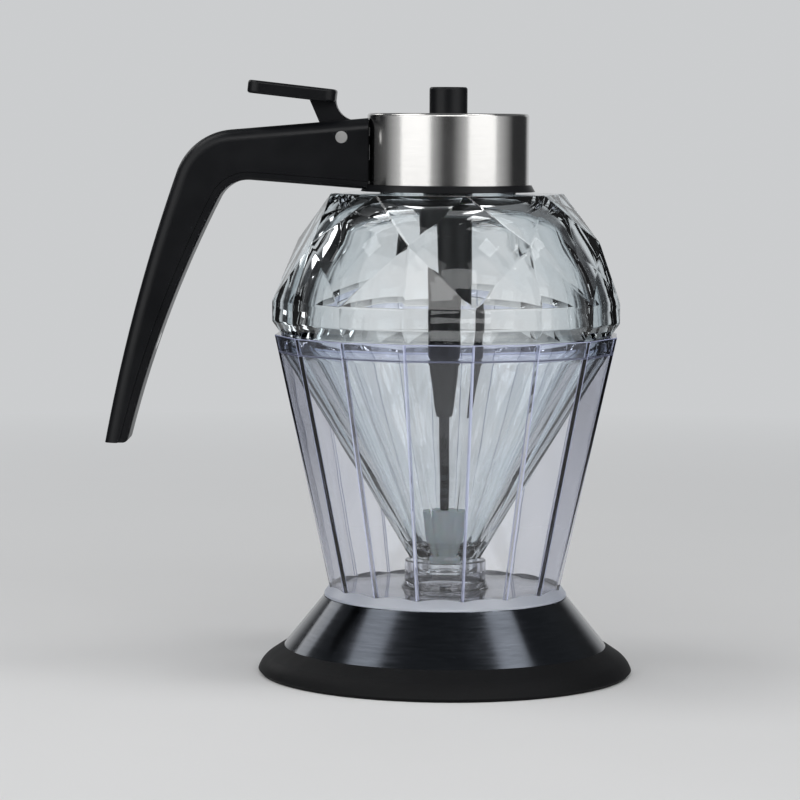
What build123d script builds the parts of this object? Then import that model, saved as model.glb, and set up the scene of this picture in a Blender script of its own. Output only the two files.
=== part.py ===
from build123d import *
import math
import os

# Oil dispenser bottle: a cut glass bottle with a trigger lid, standing in a clear cup on a black base.
# Millimetres. The origin is the centre of the foot's underside, Z points up and the handle points to -X.
# Heights are stacked: each piece states its own height, and its place comes from what carries it.

# Facets of the glass and of the cup
facet_count = 16
facet_phase = 8.7            # degrees from -Y towards +X of the first corner

# Fits
part_gap = 0.1               # between pieces that are clamped or seated on each other
running_fit = 0.05           # round a shaft that turns or slides
cut_margin = 1.0             # how far a cutting tool goes past the face that it opens

# Rubber foot
foot_radius = 47.5
foot_underside_radius = 46.7
foot_widest_height = 0.9
foot_shoulder_radius = 44.9
foot_shoulder_height = 4.4
foot_height = 7.0
foot_rim_curve = 7.0         # radius of the rim's rounded side
foot_floor = 2.1

# Steel cone of the base
cone_foot_radius = 40.9      # where the cone comes out of the rubber
cone_top_radius = 30.85
cone_height = 12.5           # above the rubber
cone_tuck = 1.8              # how deep the lower edge sits in the rubber
cone_sheet = 1.0
cone_flange_bore = 12.0

# Base plate, its screw and washer
plate_thickness = 2.0
plate_rim_width = 3.4
pillar_radius = 7.0
pillar_web = 3.3
screw_recess_radius = 4.8
base_washer_radius = 4.2
base_washer_bore = 1.7
base_washer_thickness = 0.8
base_screw_radius = 1.5
base_screw_head_radius = 3.2
base_screw_head_height = 2.2
base_screw_slot_reach = 1.9
base_screw_reach = 6.4       # length of thread in the cup's hub

# Clear cup
cup_height = 66.6
cup_waist_rise = 1.8         # from the flange's underside to where the faceted wall meets it
cup_waist_radius = 29.5
cup_rim_radius = 43.85
cup_floor_thickness = 2.4
cup_wall = 2.2
cup_rim_wall = 1.5
cup_rim_depth = 4.1
cup_flange_radius = 30.8
cup_flange_edge = 0.7
cup_hub_radius = 6.0
cup_hub_length = 8.5
well_room = 0.7              # between the bottle's spout and the drip well
well_wall = 1.4
well_foot_width = 0.9
well_height = 7.0
well_floor_thickness = 1.6

# Glass bottle
nozzle_bore = 4.4
nozzle_length = 5.5
spout_wall = 3.5
spout_length = 3.8
spout_shoulder_width = 0.9
spout_shoulder_gap = 0.5     # above the drip well
seat_flare_width = 3.6
seat_flare_rise = 3.8
cone_middle_radius = 21.9
cone_middle_rise = 22.1      # above the spout's shoulder
cone_glass = 4.2             # thickness of the glass there
band_clearance = 0.3         # glass band to the cup's rim
girdle_overhang = 0.65       # beyond the cup's rim
girdle_rise = 3.4            # above the cup's rim
girdle_height = 5.1
belly_glass = 7.0
belly_low_rise = 0.9         # cavity's widest part, above the ledge in the cup's rim
belly_high_rise = 1.8        # and above the rim
crown_height = 27.0
crown_apex_rise = 15.1       # from the girdle to the kites' outer corners
dome_glass = 6.4
dome_bulge = 1.6             # how far the dome's lower arc stands out from its chord
dome_top_depth = 3.1         # below the flat shoulder
dome_shoulder_bulge = 2.6
shoulder_width = 12.9        # flat ring round the neck
neck_radius = 16.8
neck_wall = 2.8
neck_height = 6.3
neck_root_round = 2.0

# Screw thread of the neck and lid
thread_pitch = 3.0
thread_bead = 0.7            # radius of the round bead
thread_turns = 1.0
thread_clearance = 0.4
thread_drop = 3.9            # from the neck's lip down to where the bead starts

# Lid core, gasket and guide tube
gasket_thickness = 1.2
ceiling_thickness = 2.0
core_wall = 1.85
skirt_gap = 0.5              # above the glass shoulder
skirt_top_step = 0.7         # beyond the steel cap
skirt_bottom_step = 1.6
lug_half_width = 5.0
lug_length = 13.5
lug_height = 5.4
tube_bore = 5.7
tube_wall = 1.2
tube_flange_width = 2.1
tube_flange_thickness = 1.0
tube_length = 63.6           # from the ceiling down to its tip
tube_waist_rise = 15.4       # from the tip to where the tube starts to narrow
tube_waist_radius = 5.9
tube_nose_rise = 1.9
tube_nose_radius = 3.6
tube_tip_radius = 2.9
tube_rod_room = 0.3

# Steel cap over the lid
cap_drop = 4.1               # below the neck's lip
cap_height = 17.9
cap_wall = 0.6
cap_edge_round = 0.8
window_margin = 0.7          # room above and below the lug and the lever's arm
window_side_gap = 0.3        # beside the lug

# Handle, seen from the side
handle_overlap = 0.4         # how far the handle's end reaches past the cap's widest point
arm_drop = 1.3               # top of the arm below the cap's top
arm_depth = 17.7
elbow_outer_reach = 44.2     # from the cap
elbow_outer_drop = 3.9
elbow_outer_round = 16.0
elbow_inner_reach = 34.5
elbow_inner_rise = 2.5
elbow_inner_round = 8.5
grip_tip_reach = 66.0
grip_tip_width = 5.8
grip_drop = 82.1             # from the arm's top to the tip
grip_outer_curve = 460.0     # radius of the grip's outer edge
grip_inner_curve = 285.0
tip_round = 1.6
handle_half_width = 7.6      # at the top of the lid
handle_tip_half_width = 6.2
handle_wall = 2.2
handle_edge_round = 3.0
cover_thickness = 1.9
cover_edge_round = 1.0
seam_gap = 0.1               # fine line between shell and cover
cover_rib_inset = 3.9        # from the middle to a rib's outer side
cover_rib_width = 1.0
cover_rib_height = 1.6       # above the cover's inner face
cover_rib_tip_gap = 2.2      # from the ribs' end to the grip's tip

# Handle screws
handle_screw_radius = 1.2
handle_screw_head_radius = 2.3
handle_screw_head_height = 1.0
handle_screw_length = 6.0
lug_screw_reaches = (4.8, 10.2)
grip_screw_rise = 25.6       # above the tip

# Thumb lever, with its places measured from the pivot pin and from the arm's top
pivot_reach = 6.3            # from the cap
pivot_depth = 4.75
pin_radius = 1.5
lever_half_width = 4.1
lever_side_gap = 0.5
hub_radius = 3.8
pad_length = 22.2
pad_width = 16.0
pad_thickness = 3.3
pad_tilt = 6.3               # degrees, falling towards the bottle
pad_corner_reach = 23.4
pad_corner_rise = 9.5
pad_corner_round = 3.0
pad_edge_round = 0.7
stem_top_reach = 8.7
stem_top_rise = 5.9
stem_foot_reach = 3.9
stem_foot_drop = 0.35
apron_end_reach = 5.0
apron_end_drop = 0.4
apron_curve_reach = 0.3
apron_curve_rise = 0.6
apron_top_reach = 1.6
apron_top_rise = 4.8
apron_thickness = 2.0
arm_thickness = 2.4
fork_half_gap = 2.6
fork_half_width = 4.6
fork_root = 4.0
nub_drop = 2.55              # from the pivot to the fork's nubs
nub_radius = 1.2
fork_top_step = 0.6          # tines below the top of the nubs
slot_reach = 8.9
press_gap = 0.15             # fork to knob at rest

# Plunger
rod_radius = 2.0
rod_end_radius = 1.65
knob_radius = 4.8
knob_height = 13.85
knob_roof = 4.4              # above the rod
knob_edge_round = 0.6
knob_hole_gap = 0.35
bush_radius = 3.6
bush_flange_radius = 5.4
bush_flange_thickness = 0.8
spring_room = 9.8            # from the ceiling down to the clip
clip_radius = 5.0
clip_thickness = 0.8
clip_margin = 0.8            # straight bore of the guide tube below the clip
plug_clearance = 0.15
plug_side = 0.45             # how much the plug is wider than the nozzle
plug_shoulder_rise = 4.9     # above the nozzle's seat
plug_height = 6.3            # above its shoulder
plug_reach = 2.7             # into the nozzle
core_stem_radius = 1.1
core_barb_radius = 2.6
core_barb_drop = 0.7
core_tip_radius = 1.3
core_tip_rise = 1.3
core_stem_socket = 4.0       # length of the stem inside the rod

# Return spring
spring_wire = 0.5            # diameter
spring_turns = 4.5
spring_radius = 4.4          # to the middle of the wire

# Heights of the stand
cone_top_height = foot_height + cone_height
cone_lower_edge = foot_height - cone_tuck
cup_base = cone_top_height + part_gap
cup_floor_top = cup_base + cup_floor_thickness
cup_waist_height = cup_base + cup_waist_rise
cup_rim_height = cup_base + cup_height
ledge_height = cup_rim_height - cup_rim_depth
hub_end = cup_base - cup_hub_length
pillar_height = hub_end - 2 * part_gap
well_floor_height = cup_base + well_floor_thickness
well_top_height = cup_floor_top + well_height

# Heights of the bottle and of the lid
spout_shoulder_height = well_top_height + spout_shoulder_gap
spout_end_height = spout_shoulder_height - spout_length
nozzle_seat_height = spout_end_height + nozzle_length
cone_middle_height = spout_shoulder_height + cone_middle_rise
girdle_low = cup_rim_height + girdle_rise
girdle_top = girdle_low + girdle_height
crown_apex_height = girdle_top + crown_apex_rise
shoulder_height = girdle_top + crown_height
neck_top = shoulder_height + neck_height
thread_start = neck_top - thread_drop
skirt_bottom = shoulder_height + skirt_gap
ceiling_bottom = neck_top + gasket_thickness
ceiling_top = ceiling_bottom + ceiling_thickness
tube_end = ceiling_bottom - tube_length
clip_top_height = ceiling_bottom - spring_room
cap_bottom = neck_top - cap_drop
cap_top = cap_bottom + cap_height

# Radii from the nozzle out to the cap
spout_radius = nozzle_bore + spout_wall
well_bore = spout_radius + well_room
well_radius = well_bore + well_wall
girdle_radius = cup_rim_radius + girdle_overhang
shoulder_radius = neck_radius + shoulder_width
neck_bore = neck_radius - neck_wall
core_bore = neck_radius + thread_bead + thread_clearance
core_radius = core_bore + core_wall
cap_radius = core_radius + part_gap / 2 + cap_wall
skirt_top_radius = cap_radius + skirt_top_step
skirt_bottom_radius = cap_radius + skirt_bottom_step
plug_radius = nozzle_bore + plug_side

# Places of the handle and of the lever
arm_top_height = cap_top - arm_drop
arm_underside_height = arm_top_height - arm_depth
elbow_outer = (-cap_radius - elbow_outer_reach, arm_top_height - elbow_outer_drop)
elbow_inner = (-cap_radius - elbow_inner_reach, arm_underside_height + elbow_inner_rise)
grip_tip_outer = (-cap_radius - grip_tip_reach, arm_top_height - grip_drop)
grip_tip_inner = (grip_tip_outer[0] + grip_tip_width, grip_tip_outer[1])
cover_top_height = arm_underside_height + cover_thickness
under_slope = (arm_underside_height - elbow_inner[1]) / (-cap_radius - elbow_inner[0])
pivot_x = -cap_radius - pivot_reach
pivot_z = arm_top_height - pivot_depth
nub_height = pivot_z - nub_drop

# Places of the plunger
knob_bottom = nub_height + nub_radius + press_gap
knob_top = knob_bottom + knob_height
rod_top = knob_top - knob_roof
plug_shoulder_height = nozzle_seat_height + plug_shoulder_rise
plug_end_height = nozzle_seat_height - plug_reach
rod_end_height = plug_shoulder_height + plug_height

# Slopes and shares
cone_slope = (cone_foot_radius - cone_top_radius) / cone_height
cup_slope = (cup_rim_radius - cup_waist_radius) / (cup_rim_height - cup_waist_height)
flat_share = math.cos(math.pi / facet_count)     # a flat's distance over a corner's


def revolved(points):
    """Solid of revolution about Z from (radius, height) corners."""
    outline = Polyline(*[(radius, 0, height) for radius, height in points], close=True)
    return revolve(make_face(outline), axis=Axis.Z)


def disc(radius, low, high):
    """Upright cylinder about Z between two heights."""
    return Pos(0, 0, low) * extrude(Circle(radius), high - low)


def crosswise(place, radius, half_length):
    """Cylinder along Y at an (x, z) place."""
    return Pos(place[0], 0, place[1]) * Rotation(90, 0, 0) * extrude(Circle(radius), half_length, both=True)


def thickened(face, half_width):
    """Side view face as a solid with the same thickness to both sides of Y = 0."""
    return Rotation(90, 0, 0) * extrude(face, half_width, both=True)


def block(low, high):
    """Box between two opposite corners."""
    size = [far - near for near, far in zip(low, high)]
    middle = [(near + far) / 2 for near, far in zip(low, high)]
    return Pos(*middle) * Box(*size)


def ring(radius, height, count=facet_count, first=0):
    """Corners of a regular polygon that shares the facets' phase."""
    corners = []
    for step in range(count):
        turn = math.radians(facet_phase + (first + step * facet_count / count) * 360 / facet_count)
        corners.append(Vector(radius * math.sin(turn), -radius * math.cos(turn), height))
    return corners


def flat_face(corners):
    """Plane face through its corners."""
    return Face(Wire.make_polygon(corners, close=True))


def bands(rings):
    """Flat facets between rings that have the same number of corners."""
    faces = []
    for low, high in zip(rings, rings[1:]):
        for here in range(len(low)):
            there = (here + 1) % len(low)
            faces.append(flat_face([low[here], low[there], high[there], high[here]]))
    return faces


def faceted(stations):
    """Sixteen-sided solid through (corner radius, height) stations."""
    rings = [ring(radius, height) for radius, height in stations]
    faces = bands(rings)
    faces.append(flat_face(rings[0]))
    faces.append(flat_face(rings[-1]))
    return Solid(Shell(faces))


def cup_corner(height):
    """Corner radius of the cup's outside at a height."""
    return cup_waist_radius + cup_slope * (height - cup_waist_height)


def inside_corner(height, wall):
    """Corner radius of the cup's inside at a height, for a wall measured level."""
    return cup_corner(height) - wall / flat_share


def helix_point(radius, pitch, base, turn):
    """Point of a helix after a turn in radians."""
    return Vector(radius * math.cos(turn), radius * math.sin(turn), base + pitch * turn / (2 * math.pi))


def helix_direction(radius, pitch, turn):
    """Direction of a helix after a turn in radians."""
    rise = pitch / (2 * math.pi)
    return Vector(-radius * math.sin(turn), radius * math.cos(turn), rise).normalized()


def helix_path(radius, pitch, base, turns):
    """Helix as joined arcs, two to each quarter turn, all tangent."""
    steps = round(turns * 4)
    edges = []
    for step in range(steps):
        turn_a = turns * 2 * math.pi * step / steps
        turn_b = turns * 2 * math.pi * (step + 1) / steps
        start = helix_point(radius, pitch, base, turn_a)
        end = helix_point(radius, pitch, base, turn_b)
        start_way = helix_direction(radius, pitch, turn_a)
        end_way = helix_direction(radius, pitch, turn_b)
        chord = end - start
        ways = start_way + end_way
        spread = 2 * (1 - start_way.dot(end_way))
        along = chord.dot(ways)
        reach = (math.sqrt(along * along + spread * chord.dot(chord)) - along) / spread
        middle = (start + end + (start_way - end_way) * reach) * 0.5
        edges.append(Edge.make_tangent_arc(start, start_way, middle))
        edges.append(Edge.make_tangent_arc(middle, edges[-1] % 1, end))
    return Wire(edges)


def helix_tube(radius, pitch, base, turns, tube_radius):
    """Round tube wound on a helix."""
    path = helix_path(radius, pitch, base, turns)
    section = Plane(origin=path @ 0, z_dir=path % 0, x_dir=(1, 0, 0)) * Circle(tube_radius)
    return sweep(section, path=path)


def make_rubber_foot():
    """Rubber foot: a floor and a rim that grips the cone's lower edge."""
    cone_at_edge = cone_foot_radius + cone_slope * cone_tuck
    widest = (foot_radius, foot_widest_height)
    rim_shoulder = (foot_shoulder_radius, foot_shoulder_height)
    lip = (cone_foot_radius + part_gap, foot_height)
    lip_foot = (cone_at_edge + part_gap, cone_lower_edge)
    pocket = (cone_at_edge + part_gap, foot_floor)
    rim = RadiusArc(widest, rim_shoulder, -foot_rim_curve)
    edges = [
        Polyline((0, 0), (foot_underside_radius, 0), widest),
        rim,
        Polyline(rim_shoulder, lip, lip_foot, pocket, (0, foot_floor), (0, 0)),
    ]
    return revolve(Plane.XZ * make_face(edges), axis=Axis.Z)


def make_base_cone():
    """Spun steel cone with a flange turned in at its top."""
    edge_radius = cone_foot_radius + cone_slope * cone_tuck
    sheet_level = cone_sheet * math.hypot(1, cone_slope)
    under_flange = cone_top_height - cone_sheet
    inside_top = cone_top_radius + cone_slope * cone_sheet - sheet_level
    return revolved([
        (cone_flange_bore, under_flange),
        (inside_top, under_flange),
        (edge_radius - sheet_level, cone_lower_edge),
        (edge_radius, cone_lower_edge),
        (cone_top_radius, cone_top_height),
        (cone_flange_bore, cone_top_height),
    ])


def make_base_plate():
    """Plastic plate that carries the cone's lower edge and the pillar for the base screw."""
    bottom = foot_floor + part_gap
    rim_radius = cone_foot_radius + cone_slope * cone_tuck
    rim_top = cone_lower_edge - part_gap
    web_bottom = pillar_height - pillar_web
    return revolved([
        (screw_recess_radius, bottom),
        (rim_radius, bottom),
        (rim_radius, rim_top),
        (rim_radius - plate_rim_width, rim_top),
        (rim_radius - plate_rim_width, bottom + plate_thickness),
        (pillar_radius, bottom + plate_thickness),
        (pillar_radius, pillar_height),
        (base_screw_radius + part_gap, pillar_height),
        (base_screw_radius + part_gap, web_bottom),
        (screw_recess_radius, web_bottom),
    ])


def make_base_washer():
    """Washer between the base screw's head and the pillar."""
    top = pillar_height - pillar_web
    return revolved([
        (base_washer_bore, top - base_washer_thickness),
        (base_washer_radius, top - base_washer_thickness),
        (base_washer_radius, top),
        (base_washer_bore, top),
    ])


def make_base_screw():
    """Screw that draws the cup, the cone and the base plate together."""
    head_top = pillar_height - pillar_web - base_washer_thickness
    head_bottom = head_top - base_screw_head_height
    slot_depth = base_screw_head_height / 2
    slot_half_width = base_screw_radius / 4
    body = revolved([
        (0, head_bottom),
        (base_screw_head_radius, head_bottom),
        (base_screw_head_radius, head_top),
        (base_screw_radius, head_top),
        (base_screw_radius, pillar_height + base_screw_reach),
        (0, pillar_height + base_screw_reach),
    ])
    slot = block(
        (-base_screw_slot_reach, -slot_half_width, head_bottom - cut_margin),
        (base_screw_slot_reach, slot_half_width, head_bottom + slot_depth),
    )
    return body - slot - Rotation(0, 0, 90) * slot


def make_stand_cup():
    """Clear sixteen-sided cup with a round flange, a drip well and a hub for the base screw."""
    body = faceted([(cup_corner(cup_base), cup_base), (cup_rim_radius, cup_rim_height)])
    body += revolved([
        (0, cup_base),
        (cup_flange_radius, cup_base),
        (cup_flange_radius, cup_base + cup_flange_edge),
        (cup_waist_radius, cup_floor_top),
        (0, cup_floor_top),
    ])
    body -= faceted([
        (inside_corner(cup_floor_top, cup_wall), cup_floor_top),
        (inside_corner(ledge_height, cup_wall), ledge_height),
    ])
    above = cup_rim_height + cut_margin
    body -= faceted([
        (inside_corner(ledge_height, cup_rim_wall), ledge_height),
        (inside_corner(above, cup_rim_wall), above),
    ])
    body += revolved([
        (0, cup_floor_top),
        (well_radius + well_foot_width, cup_floor_top),
        (well_radius, cup_floor_top + 2 * well_foot_width),
        (well_radius, well_top_height),
        (0, well_top_height),
    ])
    body -= disc(well_bore, well_floor_height, well_top_height + cut_margin)
    body += disc(cup_hub_radius, hub_end, cup_base)
    hole_end = pillar_height + base_screw_reach + part_gap
    return body - disc(base_screw_radius + part_gap, hub_end - cut_margin, hole_end)


def kite_distance():
    """Distance of the kite facets from the axis at the height of their outer corners."""
    return girdle_radius + (shoulder_radius - girdle_radius) * crown_apex_rise / crown_height


def crown_faces():
    """Cut facets from the girdle up to the flat shoulder: stars, kites and girdle facets."""
    half_count = facet_count // 2
    apex_radius = kite_distance() / math.cos(math.pi / half_count)
    shoulder = ring(shoulder_radius, shoulder_height, half_count)
    apexes = ring(apex_radius, crown_apex_height, half_count, first=1)
    girdle = ring(girdle_radius, girdle_top)
    faces = [flat_face(shoulder)]
    for side in range(half_count):
        after = (side + 1) % half_count
        before = (side - 1) % half_count
        here = girdle[2 * side]
        between = girdle[2 * side + 1]
        ahead = girdle[(2 * side + 2) % facet_count]
        faces.append(flat_face([shoulder[side], shoulder[after], apexes[side]]))
        faces.append(flat_face([shoulder[side], apexes[side], here, apexes[before]]))
        faces.append(flat_face([apexes[side], here, between]))
        faces.append(flat_face([apexes[side], between, ahead]))
    return faces


def bulged_arc(start, end, bulge):
    """Arc from a (radius, height) point up to another, which stands out from its chord."""
    half_width = (start[0] - end[0]) / 2
    half_height = (end[1] - start[1]) / 2
    half_chord = math.hypot(half_width, half_height)
    middle = (
        end[0] + half_width + bulge * half_height / half_chord,
        start[1] + half_height + bulge * half_width / half_chord,
    )
    return ThreePointArc(start, middle, end)


def make_cavity():
    """Space inside the glass: neck bore, dome, cone, seat and nozzle."""
    top = neck_top + cut_margin
    bottom = spout_end_height - cut_margin
    flare = (nozzle_bore + seat_flare_width, nozzle_seat_height + seat_flare_rise)
    middle = (cone_middle_radius - cone_glass, cone_middle_height)
    belly_radius = girdle_radius - belly_glass
    belly_low = (belly_radius, ledge_height + belly_low_rise)
    belly_high = (belly_radius, cup_rim_height + belly_high_rise)
    dome = (kite_distance() - dome_glass, crown_apex_height)
    under_neck = (neck_bore + neck_root_round, shoulder_height - dome_top_depth)
    neck_foot = (neck_bore, under_neck[1] + neck_root_round)
    outline = [
        Polyline((0, bottom), (nozzle_bore, bottom), (nozzle_bore, nozzle_seat_height), flare, middle),
        Polyline(middle, belly_low, belly_high),
        bulged_arc(belly_high, dome, dome_bulge),
        bulged_arc(dome, under_neck, dome_shoulder_bulge),
        Polyline(under_neck, neck_foot, (neck_bore, top), (0, top), (0, bottom)),
    ]
    return revolve(Plane.XZ * make_face(outline), axis=Axis.Z)


def make_glass_bottle():
    """Cut glass bottle with a threaded neck above and an open nozzle below."""
    band_low = ledge_height + part_gap
    rings = [
        ring(spout_radius + spout_shoulder_width, spout_shoulder_height),
        ring(cone_middle_radius, cone_middle_height),
        ring(inside_corner(band_low, cup_wall) - band_clearance, band_low),
        ring(inside_corner(band_low, cup_rim_wall) - band_clearance, band_low),
        ring(inside_corner(cup_rim_height, cup_rim_wall) - band_clearance, cup_rim_height),
        ring(girdle_radius, girdle_low),
        ring(girdle_radius, girdle_top),
    ]
    faces = [flat_face(rings[0])] + bands(rings) + crown_faces()
    glass = Solid(Shell(faces))
    glass += disc(spout_radius, spout_end_height, spout_shoulder_height + cut_margin)
    glass += disc(neck_radius, shoulder_height - cut_margin, neck_top)
    glass += helix_tube(neck_radius, thread_pitch, thread_start, thread_turns, thread_bead)
    return glass - make_cavity()


def make_lid_gasket():
    """Flat silicone ring between the neck's lip and the lid core."""
    bottom = neck_top + part_gap / 2
    top = ceiling_bottom - part_gap / 2
    outer = neck_radius + thread_bead / 2
    return revolved([(neck_bore, bottom), (outer, bottom), (outer, top), (neck_bore, top)])


def make_lid_core():
    """Plastic core of the lid: thread, ceiling, skirt and the lug that carries the handle."""
    core = revolved([
        (core_bore, skirt_bottom),
        (skirt_bottom_radius, skirt_bottom),
        (skirt_top_radius, cap_bottom - part_gap),
        (core_radius, cap_bottom - part_gap),
        (core_radius, cap_top - cap_wall - part_gap),
        (core_bore, cap_top - cap_wall - part_gap),
    ])
    core += disc(core_radius, ceiling_bottom, ceiling_top)
    core -= disc(bush_radius + running_fit, ceiling_bottom - cut_margin, ceiling_top + cut_margin)
    core += make_lug()
    slot_bottom, slot_top = arm_slot_heights()
    slot_half_width = fork_half_width + window_margin
    core -= block(
        (-core_radius - cut_margin, -slot_half_width, slot_bottom),
        (-core_bore + cut_margin, slot_half_width, slot_top),
    )
    bead_start = thread_start - thread_pitch / 2
    return core + helix_tube(core_bore, thread_pitch, bead_start, thread_turns, thread_bead)


def make_lug():
    """Lug on the lid core that reaches into the handle, with holes for the handle's screws."""
    far = -cap_radius - lug_length
    bottom_near = cover_top_height + part_gap + under_slope * (cap_radius - core_bore)
    bottom_far = cover_top_height + part_gap + under_slope * (far + cap_radius)
    top = bottom_near + lug_height
    corners = [(-core_bore, bottom_near), (far, bottom_far), (far, top), (-core_bore, top)]
    lug = thickened(make_face(Polyline(*corners, close=True)), lug_half_width)
    lug -= disc(core_bore, 0, cap_top)
    for frame in lug_screw_frames():
        lug -= frame * extrude(Circle(handle_screw_radius), handle_screw_length + part_gap)
    return lug


def arm_slot_heights():
    """Lowest and highest place that the lever's arm needs at the lid's wall."""
    share = (cap_radius + pivot_x) / pivot_x
    arm_middle = pivot_z - nub_drop * share
    return arm_middle - arm_thickness / 2 - window_margin, arm_middle + arm_thickness + window_margin


def make_guide_tube():
    """Black tube under the lid that holds the spring and guides the rod, tapered at its lower end."""
    top_radius = tube_bore + tube_wall
    waist_height = tube_end + tube_waist_rise
    nose_height = tube_end + tube_nose_rise
    hole = rod_radius + tube_rod_room
    flange_bottom = ceiling_bottom - tube_flange_thickness
    return revolved([
        (hole, tube_end),
        (tube_tip_radius, tube_end),
        (tube_nose_radius, nose_height),
        (tube_waist_radius, waist_height),
        (top_radius, flange_bottom),
        (top_radius + tube_flange_width, flange_bottom),
        (top_radius + tube_flange_width, ceiling_bottom),
        (tube_bore, ceiling_bottom),
        (tube_bore, clip_top_height - clip_thickness - clip_margin),
        (tube_waist_radius - tube_wall, waist_height),
        (hole, nose_height),
    ])


def make_lid_cap():
    """Brushed steel cap over the lid core, with a hole for the knob and a window for the handle."""
    outer = disc(cap_radius, cap_bottom, cap_top)
    outer = fillet(outer.edges().group_by(Axis.Z)[-1], cap_edge_round)
    cap = outer - disc(cap_radius - cap_wall, cap_bottom, cap_top - cap_wall)
    cap -= disc(knob_radius + knob_hole_gap, cap_bottom, cap_top + cut_margin)
    window_half_width = lug_half_width + window_side_gap
    return cap - block(
        (-cap_radius - cut_margin, -window_half_width, cover_top_height - window_margin),
        (-core_bore, window_half_width, arm_slot_heights()[1]),
    )


def arc_centre(start, end, radius):
    """Centre of the arc from start down to end that bulges towards -X."""
    middle_x = (start[0] + end[0]) / 2
    middle_z = (start[1] + end[1]) / 2
    way_x = end[0] - start[0]
    way_z = end[1] - start[1]
    half_chord = math.hypot(way_x, way_z) / 2
    depth = math.sqrt(radius ** 2 - half_chord ** 2)
    return middle_x - way_z / (2 * half_chord) * depth, middle_z + way_x / (2 * half_chord) * depth


def on_arc(centre, radius, height):
    """Point of an arc at a height, on its -X side."""
    return centre[0] - math.sqrt(radius ** 2 - (height - centre[1]) ** 2), height


def arc_and_line(centre, radius, point, slope):
    """Where an arc's -X side meets a line through a point with a slope in Z over X."""
    tries = 40
    height = point[1]
    for _ in range(tries):
        x = on_arc(centre, radius, height)[0]
        height = point[1] + slope * (x - point[0])
    return x, height


def handle_outline(outer_in=0.0, inner_in=0.0, tip_in=0.0, front=handle_overlap - cap_radius):
    """Side view of the handle as a face, with its edges drawn in by the given amounts."""
    outer_centre = arc_centre(elbow_outer, grip_tip_outer, grip_outer_curve)
    inner_centre = arc_centre(elbow_inner, grip_tip_inner, grip_inner_curve)
    outer_radius = grip_outer_curve - outer_in
    inner_radius = grip_inner_curve + inner_in
    top_slope = (arm_top_height - elbow_outer[1]) / (-cap_radius - elbow_outer[0])
    top_point = (-cap_radius, arm_top_height - outer_in * math.hypot(1, top_slope))
    under_point = (-cap_radius, arm_underside_height + inner_in * math.hypot(1, under_slope))
    top_elbow = arc_and_line(outer_centre, outer_radius, top_point, top_slope)
    under_elbow = arc_and_line(inner_centre, inner_radius, under_point, under_slope)
    tip_height = grip_tip_outer[1] + tip_in
    tip_outer = on_arc(outer_centre, outer_radius, tip_height)
    tip_inner = on_arc(inner_centre, inner_radius, tip_height)
    outer_middle = on_arc(outer_centre, outer_radius, (top_elbow[1] + tip_height) / 2)
    inner_middle = on_arc(inner_centre, inner_radius, (under_elbow[1] + tip_height) / 2)
    front_top = (front, top_point[1] + top_slope * (front + cap_radius))
    front_under = (front, under_point[1] + under_slope * (front + cap_radius))
    outline = [
        Line(front_top, top_elbow),
        ThreePointArc(top_elbow, outer_middle, tip_outer),
        Line(tip_outer, tip_inner),
        ThreePointArc(tip_inner, inner_middle, under_elbow),
        Line(under_elbow, front_under),
        Line(front_under, front_top),
    ]
    face = make_face(outline)
    face = fillet(nearest_corner(face, top_elbow), elbow_outer_round - outer_in)
    face = fillet(nearest_corner(face, under_elbow), elbow_inner_round + inner_in)
    if not tip_in:
        face = fillet(nearest_corner(face, tip_inner), tip_round - min(inner_in, tip_round / 2))
    return face


def nearest_corner(face, place):
    """The face's corner nearest to a place."""
    return face.vertices().sort_by_distance((*place, 0))[0]


def side_plate(face, half_width, tip_half_width):
    """Side view face given its width in Y, which narrows evenly from the lid down to the tip."""
    slab = thickened(face, 2 * handle_half_width)
    far = abs(grip_tip_outer[0]) + handle_half_width
    low = grip_tip_outer[1] - cut_margin
    high = cap_top
    above = high + handle_half_width
    front_view = Plane.YZ * make_face(Polyline(
        (-tip_half_width, low),
        (tip_half_width, low),
        (half_width, high),
        (half_width, above),
        (-half_width, above),
        (-half_width, high),
        close=True,
    ))
    return slab & extrude(front_view, -far)


def collar_room():
    """Room that the handle's end leaves for the steel cap and the skirt below it."""
    skirt_room = revolved([
        (0, skirt_bottom - cut_margin),
        (skirt_bottom_radius + part_gap, skirt_bottom - cut_margin),
        (skirt_bottom_radius + part_gap, skirt_bottom),
        (skirt_top_radius + part_gap, cap_bottom),
        (0, cap_bottom),
    ])
    return disc(cap_radius + part_gap, 0, cap_top) + skirt_room


def long_edges(solid, inner_side):
    """Edges that run along the inner or the outer side of the handle, without its two ends."""
    outer_centre = arc_centre(elbow_outer, grip_tip_outer, grip_outer_curve)
    outer_reach = grip_outer_curve - elbow_inner_round / 2
    arm_middle = (arm_top_height + arm_underside_height) / 2
    chosen = []
    for edge in solid.edges():
        start = edge @ 0
        end = edge @ 1
        middle = edge @ 0.5
        crosses = abs(start.Y - end.Y) > handle_tip_half_width
        upright_end = abs(start.X - end.X) < running_fit
        if crosses or upright_end:
            continue
        to_centre = math.hypot(middle.X - outer_centre[0], middle.Z - outer_centre[1])
        above_tip = middle.Z > grip_tip_outer[1] + cut_margin
        on_outer = middle.Z > arm_middle or (to_centre > outer_reach and above_tip)
        at_tip = middle.Z < grip_tip_outer[1] + tip_round / 2
        if not at_tip and on_outer != inner_side:
            chosen.append(edge)
    return chosen


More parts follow.
